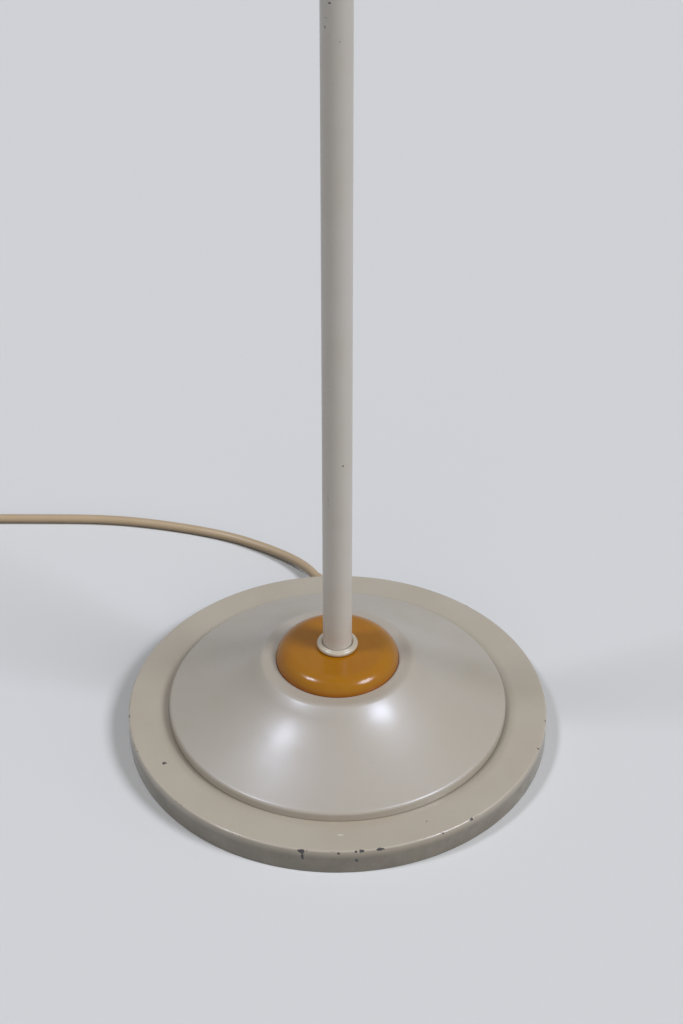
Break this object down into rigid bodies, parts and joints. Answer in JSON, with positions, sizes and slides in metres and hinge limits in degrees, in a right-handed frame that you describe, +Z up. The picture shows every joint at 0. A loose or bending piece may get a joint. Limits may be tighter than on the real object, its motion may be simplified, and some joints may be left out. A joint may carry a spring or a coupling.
{
  "type": "pole floor lamp",
  "caption": "Free-standing pole lamp with a weighted round foot, spun cover with orange ring, lacquered pole and swivelling cone shades.",
  "frame": {"origin": "on the floor under the pole's axis, at the middle of the base's underside", "axes": "+Z up along the pole, -Y the front as pictured, +X to the right seen from the front"},
  "size_m": [0.554, 0.3969, 1.5146],
  "materials": {
    "felt": "pressed wool felt, dark grey",
    "cream_lacquer": "satin cream lacquer on cast iron, chipped along the rim",
    "pearl_lacquer": "semi-gloss pearl cream lacquer on spun steel",
    "orange_enamel": "high-gloss warm orange, moulded",
    "cream_gloss": "glossy cream lacquer on turned steel",
    "pole_lacquer": "satin cream lacquer on steel tube, small chips",
    "shade_lacquer": "pearl cream lacquer on spun aluminium, white inside",
    "knuckle_metal": "satin cream lacquer on cast aluminium",
    "zinc_steel": "bright zinc-plated steel",
    "brass": "turned brass, slightly dull",
    "cord_pvc": "smooth cream PVC sheath, slightly glossy",
    "plug_plastic": "moulded cream plastic",
    "tie_rubber": "matt black rubber band",
    "black_plastic": "moulded dark phenolic plastic",
    "nylon": "natural nylon",
    "orange_knob": "high-gloss warm orange, moulded, fluted grip",
    "opal_glass": "opal white globe, smooth"
  },
  "bodies": {
    "stand": {"base_felt": "felt", "base_weight": "cream_lacquer", "dome_cover": "pearl_lacquer", "accent_ring": "orange_enamel", "collar_ring": "cream_gloss", "threaded_stem": "zinc_steel", "stem_washers": "zinc_steel", "stem_nut": "brass", "pole_foot": "zinc_steel", "cord_bushing": "cord_pvc", "cord_clamp": "black_plastic", "clamp_screws": "zinc_steel", "inner_lead": "cord_pvc", "mains_cord": "cord_pvc", "cord_coil": "cord_pvc", "cord_tie": "tie_rubber", "plug_body": "plug_plastic", "plug_pins": "brass", "pole_lower": "pole_lacquer", "pole_joint": "zinc_steel", "pole_upper": "pole_lacquer", "stop_rings": "cream_gloss", "stop_screws": "zinc_steel", "glide_washers": "nylon", "switch_housing": "cream_gloss", "switch_body": "black_plastic", "switch_nut": "zinc_steel"},
    "dial": {"switch_shaft": "brass", "switch_knob": "orange_knob"},
    "swing_1": {"hub_1": "cream_gloss", "arm_1": "pole_lacquer", "arm_eye_1": "knuckle_metal"},
    "tilt_1": {"fork_1": "knuckle_metal", "pivot_screw_1": "zinc_steel", "tilt_knob_1": "orange_knob", "shade_1": "shade_lacquer", "shade_ring_1": "orange_enamel", "lampholder_1": "black_plastic", "bulb_1": "opal_glass"},
    "swing_2": {"hub_2": "cream_gloss", "arm_2": "pole_lacquer", "arm_eye_2": "knuckle_metal"},
    "tilt_2": {"fork_2": "knuckle_metal", "pivot_screw_2": "zinc_steel", "tilt_knob_2": "orange_knob", "shade_2": "shade_lacquer", "shade_ring_2": "orange_enamel", "lampholder_2": "black_plastic", "bulb_2": "opal_glass"},
    "swing_3": {"hub_3": "cream_gloss", "arm_3": "pole_lacquer", "arm_eye_3": "knuckle_metal"},
    "tilt_3": {"fork_3": "knuckle_metal", "pivot_screw_3": "zinc_steel", "tilt_knob_3": "orange_knob", "shade_3": "shade_lacquer", "shade_ring_3": "orange_enamel", "lampholder_3": "black_plastic", "bulb_3": "opal_glass"}
  },
  "joints": [
    {"name": "switch_turn", "type": "hinge", "parent": "stand", "child": "dial", "pos_m": [0, 0, 1.5], "axis": [0, 0, 1], "continuous": true},
    {"name": "head_1_swing", "type": "hinge", "parent": "stand", "child": "swing_1", "pos_m": [0, 0, 1.08], "axis": [0, 0, 1], "range_deg": [-165, 165]},
    {"name": "head_1_tilt", "type": "hinge", "parent": "swing_1", "child": "tilt_1", "pos_m": [-0.07275, -0.042, 1.08], "axis": [-0.5, 0.866, 0], "range_deg": [0, 120]},
    {"name": "head_2_swing", "type": "hinge", "parent": "stand", "child": "swing_2", "pos_m": [0, 0, 1.255], "axis": [0, 0, 1], "range_deg": [-165, 165]},
    {"name": "head_2_tilt", "type": "hinge", "parent": "swing_2", "child": "tilt_2", "pos_m": [0.07275, -0.042, 1.255], "axis": [-0.5, -0.866, 0], "range_deg": [0, 120]},
    {"name": "head_3_swing", "type": "hinge", "parent": "stand", "child": "swing_3", "pos_m": [0, 0, 1.43], "axis": [0, 0, 1], "range_deg": [-165, 165]},
    {"name": "head_3_tilt", "type": "hinge", "parent": "swing_3", "child": "tilt_3", "pos_m": [0, 0.084, 1.43], "axis": [1, 0, 0], "range_deg": [0, 120]}
  ]
}
